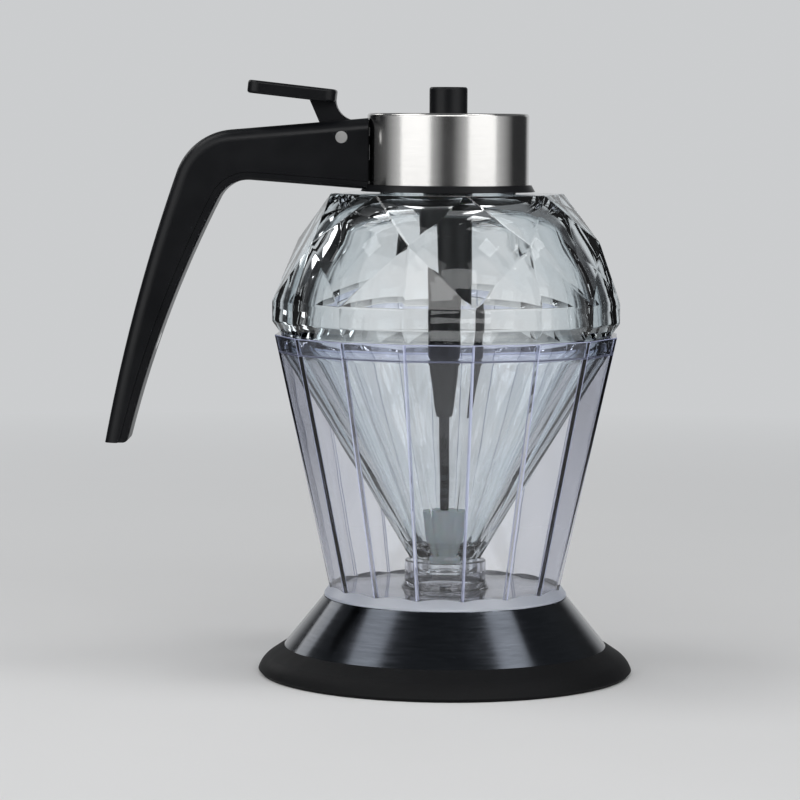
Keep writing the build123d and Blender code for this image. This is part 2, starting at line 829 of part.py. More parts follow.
def make_handle_shell():
    """Hollow upper and outer shell of the handle, open on the side that the cover closes."""
    face = handle_outline(inner_in=cover_thickness + seam_gap)
    shell = side_plate(face, handle_half_width, handle_tip_half_width)
    shell = fillet(long_edges(shell, inner_side=False), handle_edge_round)
    hollow_face = handle_outline(outer_in=handle_wall, tip_in=3 * handle_wall, front=-cap_radius + cut_margin)
    shell -= side_plate(hollow_face, handle_half_width - handle_wall, handle_tip_half_width - handle_wall)
    pivot = (pivot_x, pivot_z)
    lever_room = lever_half_width + lever_side_gap
    hub_room = crosswise(pivot, 2 * hub_radius, lever_room)
    shell += crosswise(pivot, hub_radius, handle_half_width - handle_wall) - hub_room
    shell -= crosswise(pivot, pin_radius, handle_half_width)
    shell -= block(
        (pivot_x - slot_reach, -lever_room, pivot_z),
        (-cap_radius + cut_margin, lever_room, cap_top),
    )
    screw_hole = grip_screw_frame() * extrude(Circle(handle_screw_radius), handle_screw_length + part_gap)
    return shell + grip_boss() - screw_hole - cover_ribs(part_gap) - collar_room()


def grip_screw_frame():
    """Place and direction of the screw near the grip's tip."""
    centre = arc_centre(elbow_inner, grip_tip_inner, grip_inner_curve)
    x, z = on_arc(centre, grip_inner_curve, grip_tip_inner[1] + grip_screw_rise)
    way = Vector(x - centre[0], 0, z - centre[1]).normalized()
    return Plane(origin=(x, 0, z), z_dir=way, x_dir=(0, 1, 0))


def grip_boss():
    """Boss inside the shell for the screw near the grip's tip."""
    face = handle_outline(outer_in=handle_wall / 2, inner_in=cover_thickness + part_gap)
    room = side_plate(face, handle_half_width - handle_wall, handle_tip_half_width - handle_wall)
    return grip_screw_frame() * extrude(Circle(2 * handle_screw_radius), elbow_outer_round) & room


def lug_screw_frames():
    """Places and direction of the screws that hold the handle to the lug."""
    frames = []
    for reach in lug_screw_reaches:
        height = arm_underside_height - under_slope * reach
        frames.append(Plane(origin=(-cap_radius - reach, 0, height), z_dir=(0, 0, 1)))
    return frames


def make_handle_screws():
    """Three identical screws: two into the lug, one into the grip's boss."""
    profile = make_face(Polyline(
        (0, 0),
        (handle_screw_head_radius, 0),
        (handle_screw_head_radius, handle_screw_head_height),
        (handle_screw_radius, handle_screw_head_height),
        (handle_screw_radius, handle_screw_length),
        (0, handle_screw_length),
        close=True,
    ))
    screw = revolve(Plane.XZ * profile, axis=Axis.Z)
    return [frame * screw for frame in lug_screw_frames() + [grip_screw_frame()]]


def cover_ribs(room=0.0):
    """Two ribs inside the cover, which stiffen it and shut out light behind the seam, or the room for them."""
    outer = cover_rib_inset + room
    inner = cover_rib_inset - cover_rib_width - room
    strip_face = handle_outline(inner_in=cover_thickness / 2, tip_in=cover_rib_tip_gap - room)
    above = handle_outline(inner_in=cover_thickness + cover_rib_height + room, front=-cap_radius + cut_margin)
    ribs = side_plate(strip_face, outer, outer) - side_plate(above, 2 * outer, 2 * outer)
    low = grip_tip_outer[1]
    ribs -= block((grip_tip_outer[0], -inner, low), (0, inner, cap_top))
    past_lug = -cap_radius - lug_length - window_margin + room
    return ribs & block((grip_tip_outer[0], -outer, low), (past_lug, outer, cap_top))


def make_handle_cover():
    """Cover strip along the underside of the arm and the inner side of the grip, with its ribs."""
    cover = side_plate(handle_outline(), handle_half_width, handle_tip_half_width)
    cover = fillet(long_edges(cover, inner_side=True), cover_edge_round)
    shell_face = handle_outline(inner_in=cover_thickness, front=-cap_radius + cut_margin)
    cover -= side_plate(shell_face, handle_half_width + cut_margin, handle_tip_half_width + cut_margin)
    cover += cover_ribs()
    head_room = Circle(handle_screw_head_radius + part_gap)
    thread_room = Circle(handle_screw_radius + part_gap)
    for frame in lug_screw_frames() + [grip_screw_frame()]:
        cover -= frame * extrude(head_room, handle_screw_head_height)
        cover -= frame * extrude(head_room, -cover_thickness)
        cover -= frame * extrude(thread_room, 2 * cover_thickness)
    return cover - collar_room()


def make_pivot_pin():
    """Steel pin that the lever turns on."""
    return crosswise((pivot_x, pivot_z), pin_radius, handle_half_width - part_gap)


def make_thumb_lever():
    """Thumb lever: pad, stem, apron over the slot, hub, arm and fork."""
    pivot = (pivot_x, pivot_z)
    stem_top = (pivot_x - stem_top_reach, arm_top_height + stem_top_rise)
    stem_foot = (pivot_x - stem_foot_reach, pivot_z - stem_foot_drop)
    apron_end = (pivot_x + apron_end_reach, arm_top_height - apron_end_drop)
    apron_under = (apron_end[0], apron_end[1] - apron_thickness)
    apron_curve = (pivot_x + apron_curve_reach, arm_top_height + apron_curve_rise)
    apron_top = (pivot_x - apron_top_reach, arm_top_height + apron_top_rise)
    side = make_face([
        Polyline(apron_top, stem_top, stem_foot, pivot, apron_under, apron_end),
        ThreePointArc(apron_end, apron_curve, apron_top),
    ])
    lever = make_pad() + thickened(side, lever_half_width) + crosswise(pivot, hub_radius, lever_half_width)
    return lever + make_fork_arm() - crosswise(pivot, pin_radius + running_fit, 2 * lever_half_width)


def make_pad():
    """Thumb pad with rounded corners, tilted on the stem."""
    pad = Box(pad_length, pad_width, pad_thickness)
    pad = fillet(pad.edges().filter_by(Axis.Z), pad_corner_round)
    levels = pad.edges().group_by(Axis.Z)
    pad = fillet(levels[0] + levels[-1], pad_edge_round)
    corner = Pos(pivot_x - pad_corner_reach, 0, arm_top_height + pad_corner_rise) * Rotation(0, pad_tilt, 0)
    return corner * Pos(pad_length / 2, 0, -pad_thickness / 2) * pad


def make_fork_arm():
    """Arm from the lever's hub to the fork under the knob, narrower where it is inside the handle."""
    drop = math.atan2(nub_drop, -pivot_x)
    lean = arm_thickness / 2 * math.sin(drop)
    rise = arm_thickness / 2 * math.cos(drop)
    side = make_face(Polyline(
        (pivot_x + lean, pivot_z + rise),
        (lean, nub_height + nub_radius - fork_top_step),
        (-lean, nub_height - rise),
        (pivot_x - lean, pivot_z - rise),
        close=True,
    ))
    arm = thickened(side, fork_half_width) + crosswise((0, nub_height), nub_radius, fork_half_width)
    reach_z = hub_radius + nub_drop
    far = pivot_x - hub_radius
    past_nub = 2 * nub_radius
    arm -= block(
        (-fork_root, -fork_half_gap, pivot_z - reach_z),
        (past_nub, fork_half_gap, pivot_z + reach_z),
    )
    inside_handle = block(
        (far, -fork_half_width - cut_margin, pivot_z - reach_z),
        (-cap_radius - window_margin, fork_half_width + cut_margin, pivot_z + reach_z),
    )
    narrow = block(
        (far, -lever_half_width, pivot_z - reach_z),
        (past_nub, lever_half_width, pivot_z + reach_z),
    )
    return arm - inside_handle + (arm & inside_handle & narrow)


def make_plunger_rod():
    """Black rod from the knob down to the plug."""
    rod = revolved([
        (0, rod_end_height),
        (rod_end_radius, rod_end_height),
        (rod_radius, tube_end),
        (rod_radius, rod_top),
        (0, rod_top),
    ])
    return rod - disc(core_stem_radius, rod_end_height, rod_end_height + core_stem_socket)


def make_knob():
    """Knob on the rod's top, under which the fork lifts."""
    knob = disc(knob_radius, knob_bottom, knob_top)
    knob = fillet(knob.edges().group_by(Axis.Z)[-1], knob_edge_round)
    return knob - disc(rod_radius, knob_bottom, rod_top)


def make_rod_bush():
    """Flanged bush in the ceiling that guides the rod and seats the spring."""
    return revolved([
        (rod_radius + running_fit, ceiling_bottom - bush_flange_thickness),
        (bush_flange_radius, ceiling_bottom - bush_flange_thickness),
        (bush_flange_radius, ceiling_bottom),
        (bush_radius, ceiling_bottom),
        (bush_radius, ceiling_top),
        (rod_radius + running_fit, ceiling_top),
    ])


def make_spring_clip():
    """Clip on the rod that the return spring pushes down."""
    return revolved([
        (rod_radius, clip_top_height - clip_thickness),
        (clip_radius, clip_top_height - clip_thickness),
        (clip_radius, clip_top_height),
        (rod_radius, clip_top_height),
    ])


def make_return_spring():
    """Compression spring between the bush and the clip."""
    bottom = clip_top_height + spring_wire / 2 + part_gap / 2
    top = ceiling_bottom - bush_flange_thickness - spring_wire / 2 - part_gap / 2
    pitch = (top - bottom) / spring_turns
    print("return spring: least gap between turns", round(pitch - spring_wire, 2), "mm")
    return helix_tube(spring_radius, pitch, bottom, spring_turns, spring_wire / 2)


def make_plug_core():
    """Barbed stem that holds the soft plug on the rod."""
    barb_height = plug_shoulder_height - core_barb_drop
    tip_height = plug_end_height + core_tip_rise
    return revolved([
        (0, tip_height),
        (core_tip_radius, tip_height),
        (core_barb_radius, barb_height),
        (core_stem_radius, barb_height),
        (core_stem_radius, rod_end_height + core_stem_socket),
        (0, rod_end_height + core_stem_socket),
    ])


def make_silicone_plug():
    """Soft plug: a cylinder above and a cone that closes the nozzle below."""
    seat_radius = nozzle_bore - plug_clearance
    taper = (plug_radius - seat_radius) / plug_shoulder_rise
    plug = revolved([
        (0, plug_end_height),
        (seat_radius - taper * plug_reach, plug_end_height),
        (plug_radius, plug_shoulder_height),
        (plug_radius, rod_end_height),
        (0, rod_end_height),
    ])
    return plug - make_plug_core()


pieces = {
    "rubber_foot": make_rubber_foot,
    "base_cone": make_base_cone,
    "base_plate": make_base_plate,
    "base_washer": make_base_washer,
    "base_screw": make_base_screw,
    "stand_cup": make_stand_cup,
    "glass_bottle": make_glass_bottle,
    "lid_gasket": make_lid_gasket,
    "lid_core": make_lid_core,
    "guide_tube": make_guide_tube,
    "lid_cap": make_lid_cap,
    "handle_shell": make_handle_shell,
    "handle_cover": make_handle_cover,
    "handle_screws": make_handle_screws,
    "pivot_pin": make_pivot_pin,
    "thumb_lever": make_thumb_lever,
    "plunger_rod": make_plunger_rod,
    "knob": make_knob,
    "rod_bush": make_rod_bush,
    "spring_clip": make_spring_clip,
    "return_spring": make_return_spring,
    "plug_core": make_plug_core,
    "silicone_plug": make_silicone_plug,
}

os.makedirs("parts", exist_ok=True)
for name, make in pieces.items():
    made = make()
    shape = Compound(made) if isinstance(made, list) else made
    export_step(shape, f"parts/{name}.step")
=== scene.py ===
import bmesh
import bpy
import math
from mathutils import Matrix, Vector


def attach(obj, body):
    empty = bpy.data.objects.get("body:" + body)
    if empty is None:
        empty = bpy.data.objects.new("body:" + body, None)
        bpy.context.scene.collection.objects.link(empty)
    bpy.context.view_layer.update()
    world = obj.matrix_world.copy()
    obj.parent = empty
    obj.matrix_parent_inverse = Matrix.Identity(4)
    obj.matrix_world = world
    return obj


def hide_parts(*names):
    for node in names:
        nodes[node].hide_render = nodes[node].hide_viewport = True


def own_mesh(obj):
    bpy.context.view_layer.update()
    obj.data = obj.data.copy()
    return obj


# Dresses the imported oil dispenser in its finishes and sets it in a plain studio.
# Metres. Z points up, the handle points to -X and the camera looks along +Y.

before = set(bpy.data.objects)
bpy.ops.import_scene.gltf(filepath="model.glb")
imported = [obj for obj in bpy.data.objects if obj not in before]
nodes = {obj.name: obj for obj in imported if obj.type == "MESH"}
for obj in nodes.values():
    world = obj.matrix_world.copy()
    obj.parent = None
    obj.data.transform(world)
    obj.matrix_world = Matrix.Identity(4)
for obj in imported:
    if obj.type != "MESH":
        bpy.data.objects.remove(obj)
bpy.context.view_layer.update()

mm = 0.001

# Sizes that the drawn pieces share with the solids, in millimetres.
# A pair is a radius and a height. The radius of a flat-sided form is to its corners.

facet_count = 16
facet_phase = 8.7            # degrees from -Y towards +X of the first corner

cup_waist = (29.5, 21.4)     # foot of the cup's wall, at its flange
cup_rim = (43.85, 86.2)
cup_wall = 2.2
cup_rim_wall = 1.5
ledge_height = 82.1
cup_base = 19.6
cup_floor = 22.0
cup_edge = 0.2               # rounding of the cup's corners
flange_radius = 30.8
flange_edge = 0.7
flange_top = 21.4
flange_slope = 1.3 / 1.7     # how far its face runs out for each millimetre down
frost_radius = 27.0          # the flange is frosted outside this
hub_radius = 6.0
hub_bore = 1.6
hub_end = 11.1
hub_bore_end = 17.4
well_radius = 10.0
well_bore = 8.6
well_foot_width = 0.9
well_floor = 21.2
well_top = 29.0

band_clearance = 0.3         # between the bottle's band and the cup's wall
band_lift = 0.1              # between the bottle's band and the cup's ledge
spout_radius = 7.9
spout_shoulder = (8.8, 29.5)
cone_middle = (21.9, 51.6)
girdle_radius = 44.5
girdle_low = 89.6
girdle_top = 94.7
apex_height = 109.8
shoulder = (29.7, 121.7)
neck_radius = 16.8
neck_root = 0.8              # width of the ring that the neck's rounding runs out on
neck_bore = 14.0
neck_top = 128.0
neck_throat = 2.0            # height over which the dome's top narrows to the neck's bore
thread_start = 124.1
thread_pitch = 3.0
thread_bead_radius = 0.7

nozzle_bore = 4.4
nozzle_low = 25.7
nozzle_seat = 31.2
cavity_flare = (8.0, 35.0)
cavity_middle = (17.7, 51.6)
cavity_radius = 37.5
cavity_low = 83.0
cavity_high = 88.0
dome_glass = 6.4
dome_bulge = 1.6
dome_top = (16.0, 118.6)
dome_top_bulge = 2.6
facet_edge = 0.35            # rounding of the cut edges

spring_radius = 4.4          # to the middle of the wire
spring_wire = 0.5
spring_turns = 4.5
spring_top = 128.35
spring_length = 8.9

# How finely the drawn pieces are divided
arch_steps = 8               # points along each of the cup's sides where the flange runs up onto it
edge_steps = 3               # faces across a rounded edge
axis_gap = 0.01              # radius at which an outline ends that runs to the axis
level_tolerance = 0.01       # how near to a height a level face is looked for
sliver = 0.001               # edges shorter than this are taken out
soft_angle = 32.0            # degrees between faces below which shading is smooth

# Camera
camera_place = (0.3 * mm, -834.2 * mm, 140.8 * mm)
camera_lens = 148.5
camera_sensor = 36.0
camera_tilt = 85.1           # degrees from straight down
camera_turn = 0.83
camera_roll = 0.32

# Studio
floor_radius = 8.0
floor_colour = (0.76, 0.76, 0.76)
floor_mottle = 0.98          # the floor's darker patches against its colour
fade_start = 0.12            # metres from the object where the floor begins to match the backdrop
fade_end = 0.75
gloss_fade = 2.5             # how many times sooner it does so in reflections
backdrop_colour = (0.60, 0.61, 0.62)
wall_colour = (0.74, 0.75, 0.76)
ceiling_colour = (0.15, 0.155, 0.16)
gap_colour = (0.035, 0.036, 0.038)
wall_start = (6.0, 28.0)     # degrees from the camera over which the gap there turns into a side wall
wall_end = (74.0, 104.0)     # over which the side wall fades into the next gap
backdrop_start = (144.0, 156.0)  # over which that gap turns into the backdrop
ceiling_start = (0.18, 0.5)  # upward part of a direction over which the walls turn into the ceiling
lamp_aim = (0, 0, 80 * mm)


# Small helpers for node trees

def add(tree, kind, inputs=None, **settings):
    """New node with its settings, and its inputs set to values or joined to outputs."""
    node = tree.nodes.new(kind)
    for name, value in settings.items():
        setattr(node, name, value)
    for name, value in (inputs or {}).items():
        if isinstance(value, bpy.types.NodeSocket):
            tree.links.new(value, node.inputs[name])
        else:
            node.inputs[name].default_value = value
    return node


def maths(tree, operation, first, second=0.0, third=0.0):
    """Output of a Math node."""
    values = {0: first, 1: second, 2: third}
    return add(tree, "ShaderNodeMath", values, operation=operation).outputs[0]


def vector_maths(tree, operation, inputs, output="Vector"):
    """Output of a Vector Math node."""
    return add(tree, "ShaderNodeVectorMath", inputs, operation=operation).outputs[output]


def noise(tree, place, scale, **settings):
    """Output of a Noise Texture node."""
    return add(tree, "ShaderNodeTexNoise", {"Vector": place, "Scale": scale, **settings}).outputs["Fac"]


def object_place(tree):
    """Place on the object, in metres."""
    return add(tree, "ShaderNodeTexCoord").outputs["Object"]


def span(tree, value, low, high, new_low=0.0, new_high=1.0):
    """Value moved from one range to another and held there."""
    limits = {"From Min": low, "From Max": high, "To Min": new_low, "To Max": new_high}
    return add(tree, "ShaderNodeMapRange", {"Value": value, **limits}).outputs["Result"]


def mixed(tree, share, first, second):
    """Colour between two colours, each of which is an output or its red, green and blue."""
    mixer = tree.nodes.new("ShaderNodeMix")
    mixer.data_type = "RGBA"
    for name, value in {"Factor": share, "A": first, "B": second}.items():
        socket = next(s for s in mixer.inputs if s.name == name and s.enabled)
        if isinstance(value, bpy.types.NodeSocket):
            tree.links.new(value, socket)
        else:
            socket.default_value = (*value, 1)
    return next(s for s in mixer.outputs if s.enabled)


def new_group(name, inputs, outputs):
    """Empty shader node group with its sockets, and its two end nodes."""
    group = bpy.data.node_groups.new(name, "ShaderNodeTree")
    for title, value in inputs.items():
        kind = "NodeSocketVector" if isinstance(value, tuple) else "NodeSocketFloat"
        group.interface.new_socket(title, in_out="INPUT", socket_type=kind).default_value = value
    for title in outputs:
        kind = "NodeSocketColor" if title == "Colour" else "NodeSocketFloat"
        group.interface.new_socket(title, in_out="OUTPUT", socket_type=kind)
    return group, group.nodes.new("NodeGroupInput"), group.nodes.new("NodeGroupOutput")


def placed(tree, group, **inputs):
    """A group placed in a node tree with its own values."""
    values = {key.replace("_", " "): value for key, value in inputs.items()}
    return add(tree, "ShaderNodeGroup", values, node_tree=group)


# Effects that several finishes share

def build_brushing():
    """Fine lines that run round the object's axis."""
    group, start, end = new_group("brushing", {"Lines": 9000.0, "Run": 5.0}, ["Lines"])
    parts = add(group, "ShaderNodeSeparateXYZ", {"Vector": object_place(group)}).outputs
    flat = add(group, "ShaderNodeCombineXYZ", {"X": parts["X"], "Y": parts["Y"]}).outputs[0]
    radius = vector_maths(group, "LENGTH", {0: flat}, "Value")
    way = vector_maths(group, "NORMALIZE", {0: flat})
    across = maths(group, "MULTIPLY", maths(group, "ADD", radius, parts["Z"]), start.outputs["Lines"])
    run = vector_maths(group, "SCALE", {0: way, "Scale": start.outputs["Run"]})
    lift = add(group, "ShaderNodeCombineXYZ", {"Z": across}).outputs[0]
    lines = noise(group, vector_maths(group, "ADD", {0: run, 1: lift}), 1.0, Detail=3.0, Roughness=0.7)
    group.links.new(span(group, lines, low=0.25, high=0.75), end.inputs["Lines"])
    return group


def build_grain():
    """Fine moulded or spark-eroded grain, and broad uneven patches."""
    group, start, end = new_group("grain", {"Size": 0.4, "Patch Size": 18.0}, ["Grain", "Patches"])
    place = object_place(group)
    fine = maths(group, "DIVIDE", 1 / mm, start.outputs["Size"])
    broad = maths(group, "DIVIDE", 1 / mm, start.outputs["Patch Size"])
    grains = noise(group, place, fine, Detail=4.0, Roughness=0.6)
    patches = noise(group, place, broad, Detail=3.0)
    group.links.new(span(group, grains, low=0.3, high=0.7), end.inputs["Grain"])
    group.links.new(span(group, patches, low=0.3, high=0.7), end.inputs["Patches"])
    return group


def build_marks():
    """Sparse hairline scratches and faint smudges from handling."""
    group, start, end = new_group("marks", {"Scratches": 0.5, "Smudges": 0.5}, ["Scratches", "Smudges"])
    place = object_place(group)
    stretch = {"Vector": place, "Rotation": (0.5, 0.3, 0.8), "Scale": (900.0, 25.0, 60.0)}
    threads = noise(group, add(group, "ShaderNodeMapping", stretch).outputs[0], 1.0, Detail=1.0)
    smears = noise(group, place, 45.0, Detail=5.0, Distortion=1.2)
    thin = span(group, threads, low=0.70, high=0.78)
    soft = span(group, smears, low=0.45, high=0.75)
    scratches = maths(group, "MULTIPLY", thin, start.outputs["Scratches"])
    smudges = maths(group, "MULTIPLY", soft, start.outputs["Smudges"])
    group.links.new(scratches, end.inputs["Scratches"])
    group.links.new(smudges, end.inputs["Smudges"])
    return group


def build_ripple():
    """Slow waves that pressing leaves in glass and moulded plastic."""
    group, start, end = new_group("ripple", {"Width": 9.0}, ["Height"])
    scale = maths(group, "DIVIDE", 1 / mm, start.outputs["Width"])
    waves = noise(group, object_place(group), scale, Detail=1.0, Roughness=0.4)
    group.links.new(waves, end.inputs["Height"])
    return group


def build_tent():
    """Colour of the studio in a level direction: gap round the camera, side wall, gap and backdrop."""
    group, start, end = new_group("tent", {"Direction": (0.0, 1.0, 0.0)}, ["Colour"])
    parts = add(group, "ShaderNodeSeparateXYZ", {"Vector": start.outputs["Direction"]}).outputs
    sideways = maths(group, "ABSOLUTE", parts["X"])
    angle = maths(group, "ARCTAN2", sideways, maths(group, "MULTIPLY", parts["Y"], -1.0))
    turn = maths(group, "MULTIPLY", angle, 180 / math.pi)
    colour = mixed(group, span(group, turn, *wall_start), gap_colour, wall_colour)
    colour = mixed(group, span(group, turn, *wall_end), colour, gap_colour)
    colour = mixed(group, span(group, turn, *backdrop_start), colour, backdrop_colour)
    group.links.new(colour, end.inputs["Colour"])
    return group


brushing = build_brushing()
grain = build_grain()
marks = build_marks()
ripple = build_ripple()
tent = build_tent()


# Finishes

tint_slant = (0.15, 1.15)    # slant over which a clear finish takes its edge's tint
tint_waver = 0.3             # how much the ripple adds to the slant
lip_tint = 0.9               # how much of the edge's tint the cup's lip takes
lip_blur = 0.3               # millimetres above and below the ledge over which that begins
metal_smudge = 0.08          # roughness that a smudge adds to metal
plastic_smudge = -0.06       # and to plastic


def new_material(name, **values):
    """Material with its Principled shader, whose plain values are set here."""
    material = bpy.data.materials.new(name)
    material.use_nodes = True
    shader = material.node_tree.nodes["Principled BSDF"]
    for key, value in values.items():
        shader.inputs[key.replace("_", " ")].default_value = value
    return material, material.node_tree, shader


def bumped(tree, shader, height, depth, strength):
    """Feeds a height into the shader's normal. Depth is in metres."""
    bump = add(tree, "ShaderNodeBump", {"Height": height, "Distance": depth, "Strength": strength})
    tree.links.new(bump.outputs["Normal"], shader.inputs["Normal"])


def clear(name, index, width, through, edge, rough, lip=None, **values):
    """Clear glass or plastic, tinted where it is seen at a slant and, if asked, above a height."""
    material, tree, shader = new_material(name, IOR=index, Metallic=0.0, **values)
    wave = placed(tree, ripple, Width=width).outputs["Height"]
    wear = placed(tree, marks, Scratches=0.5, Smudges=0.5).outputs
    slant = add(tree, "ShaderNodeLayerWeight", {"Blend": 0.35}).outputs["Facing"]
    share = span(tree, maths(tree, "MULTIPLY_ADD", wave, tint_waver, slant), *tint_slant)
    if lip:
        height = add(tree, "ShaderNodeSeparateXYZ", {"Vector": object_place(tree)}).outputs["Z"]
        at_lip = span(tree, height, (lip - lip_blur) * mm, (lip + lip_blur) * mm, 0.0, lip_tint)
        share = maths(tree, "MAXIMUM", share, at_lip)
    tree.links.new(mixed(tree, share, through, edge), shader.inputs["Base Color"])
    dull = maths(tree, "ADD", wear["Scratches"], wear["Smudges"])
    tree.links.new(span(tree, dull, 0.0, 1.0, *rough), shader.inputs["Roughness"])
    bumped(tree, shader, wave, depth=0.22 * mm, strength=0.45)
    return material


def brushed_metal(name, low, high, rough, lines, depth):
    """Metal brushed in lines round the object's axis."""
    plain = {"Metallic": 1.0, "Anisotropic": 0.5, "Anisotropic_Rotation": 0.25}
    material, tree, shader = new_material(name, **plain)
    brush = placed(tree, brushing, Lines=lines, Run=4.0).outputs["Lines"]
    wear = placed(tree, marks, Scratches=0.5, Smudges=0.6).outputs
    tree.links.new(mixed(tree, brush, low, high), shader.inputs["Base Color"])
    smear = maths(tree, "MULTIPLY", wear["Smudges"], metal_smudge)
    gloss = maths(tree, "ADD", span(tree, brush, 0.0, 1.0, *rough), smear)
    tree.links.new(gloss, shader.inputs["Roughness"])
    tangent = add(tree, "ShaderNodeTangent", direction_type="RADIAL", axis="Z").outputs[0]
    tree.links.new(tangent, shader.inputs["Tangent"])
    bumped(tree, shader, brush, depth, strength=0.5)
    return material


def moulded(name, low, high, rough, size, depth, **values):
    """Moulded plastic, rubber or plain metal with a fine grain and slightly uneven gloss."""
    material, tree, shader = new_material(name, **values)
    texture = placed(tree, grain, Size=size, Patch_Size=16.0).outputs
    wear = placed(tree, marks, Scratches=0.6, Smudges=0.5).outputs
    tree.links.new(mixed(tree, texture["Patches"], low, high), shader.inputs["Base Color"])
    smear = maths(tree, "MULTIPLY", wear["Smudges"], plastic_smudge)
    gloss = maths(tree, "ADD", span(tree, texture["Patches"], 0.0, 1.0, *rough), smear)
    tree.links.new(gloss, shader.inputs["Roughness"])
    bumped(tree, shader, texture["Grain"], depth, strength=0.6)
    return material


def soft_silicone(name, low, high, rough):
    """Milky silicone, which scatters light below its surface."""
    plain = {"IOR": 1.41, "Subsurface_Weight": 0.25, "Subsurface_Scale": 1.0 * mm}
    material, tree, shader = new_material(name, **plain)
    texture = placed(tree, grain, Size=0.5, Patch_Size=4.0).outputs
    tree.links.new(mixed(tree, texture["Patches"], low, high), shader.inputs["Base Color"])
    tree.links.new(span(tree, texture["Patches"], 0.0, 1.0, *rough), shader.inputs["Roughness"])
    bumped(tree, shader, texture["Grain"], depth=0.02 * mm, strength=0.5)
    return material


finishes = {
    "cut_glass": clear(
        "cut_glass", index=1.52, width=11.0, through=(0.97, 0.985, 0.99), edge=(0.72, 0.87, 0.94),
        rough=(0.004, 0.05), Transmission_Weight=1.0),
    "clear_acrylic": clear(
        "clear_acrylic", index=1.49, width=14.0, through=(0.965, 0.97, 0.985), edge=(0.76, 0.785, 0.93),
        rough=(0.01, 0.08), lip=ledge_height, Transmission_Weight=1.0),
    # Darker, half-opaque lavender finish for the cup's rounded corners: painted edge lines that stand
    # in for the lines refraction draws along clear corners.
    "acrylic_painted_edge_lines": clear(
        "acrylic_painted_edge_lines", index=1.49, width=6.0, through=(0.66, 0.70, 0.93), edge=(0.55, 0.60, 0.90),
        rough=(0.10, 0.2), Transmission_Weight=0.45),
    "frosted_acrylic": clear(
        "frosted_acrylic", index=1.49, width=6.0, through=(0.83, 0.87, 0.96), edge=(0.70, 0.76, 0.93),
        rough=(0.30, 0.45), Transmission_Weight=0.55),
    "brushed_steel_cap": brushed_metal(
        "brushed_steel_cap", low=(0.55, 0.54, 0.525), high=(0.65, 0.64, 0.625),
        rough=(0.14, 0.20), lines=16000.0, depth=0.004 * mm),
    "black_coated_steel": brushed_metal(
        "black_coated_steel", low=(0.042, 0.047, 0.055), high=(0.070, 0.077, 0.090),
        rough=(0.11, 0.16), lines=9000.0, depth=0.002 * mm),
    "steel_hardware": moulded(
        "steel_hardware", low=(0.74, 0.74, 0.73), high=(0.84, 0.83, 0.82),
        rough=(0.26, 0.38), size=0.3, depth=0.004 * mm, Metallic=1.0),
    "black_plastic": moulded(
        "black_plastic", low=(0.003, 0.0033, 0.0042), high=(0.0052, 0.0056, 0.0068),
        rough=(0.30, 0.40), size=0.35, depth=0.012 * mm, Specular_IOR_Level=0.20),
    "black_rubber": moulded(
        "black_rubber", low=(0.0035, 0.0037, 0.0042), high=(0.0058, 0.006, 0.0068),
        rough=(0.50, 0.66), size=0.6, depth=0.05 * mm, Specular_IOR_Level=0.13),
    "white_plastic": moulded(
        "white_plastic", low=(0.72, 0.73, 0.72), high=(0.80, 0.80, 0.79),
        rough=(0.38, 0.5), size=0.4, depth=0.02 * mm),
    "blue_plastic": moulded(
        "blue_plastic", low=(0.30, 0.55, 0.88), high=(0.40, 0.64, 0.94),
        rough=(0.34, 0.45), size=0.4, depth=0.02 * mm),
    "silicone_seal": soft_silicone(
        "silicone_seal", low=(0.86, 0.95, 1.0), high=(0.93, 0.98, 1.0), rough=(0.30, 0.42)),
}


def dress_nodes():
    """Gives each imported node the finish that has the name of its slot."""
    for piece in nodes.values():
        slot = piece.data.materials[0].name.split(".")[0]
        piece.material_slots[0].link = "OBJECT"
        piece.material_slots[0].material = finishes[slot]


# Shapes that the drawn pieces share

half_side = math.pi / facet_count
cup_slope = (cup_rim[0] - cup_waist[0]) / (cup_rim[1] - cup_waist[1])
flange_face = flange_radius - (flange_top - cup_base - flange_edge) * flange_slope


def round_place(radius, turn, height):
    """Place in metres at a turn from -Y towards +X."""
    return Vector((radius * math.sin(turn), -radius * math.cos(turn), height)) * mm


def facet_ring(radius, height, count=facet_count, first=0):
    """Corners of a regular polygon in the facets' phase, in metres."""
    corners = []
    for step in range(count):
        turn = math.radians(facet_phase + (first + step * facet_count / count) * 360 / facet_count)
        corners.append(round_place(radius, turn, height))
    return corners


def inside_corner(height, wall):
    """Corner radius of the cup's inside at a height."""
    corner = cup_waist[0] + cup_slope * (height - cup_waist[1])
    return corner - wall / math.cos(half_side)


def flange_arches():
    """Line where the flange's cone runs up onto the cup's flat sides, one arch on each, in metres."""
    lean = cup_slope * math.cos(half_side)
    flat = cup_waist[0] * math.cos(half_side)
    places = []
    for step in range(facet_count * arch_steps):
        turn = math.radians(facet_phase) + 2 * half_side * step / arch_steps
        off_middle = math.cos(2 * half_side * (step % arch_steps) / arch_steps - half_side)
        rise = (flange_face * off_middle - flat) / (lean + flange_slope * off_middle)
        places.append(round_place(flange_face - flange_slope * rise, turn, flange_top + rise))
    return places


def kite_distance():
    """Distance of the kite facets from the axis at the height of their outer corners."""
    share = (apex_height - girdle_top) / (shoulder[1] - girdle_top)
    return girdle_radius + (shoulder[0] - girdle_radius) * share


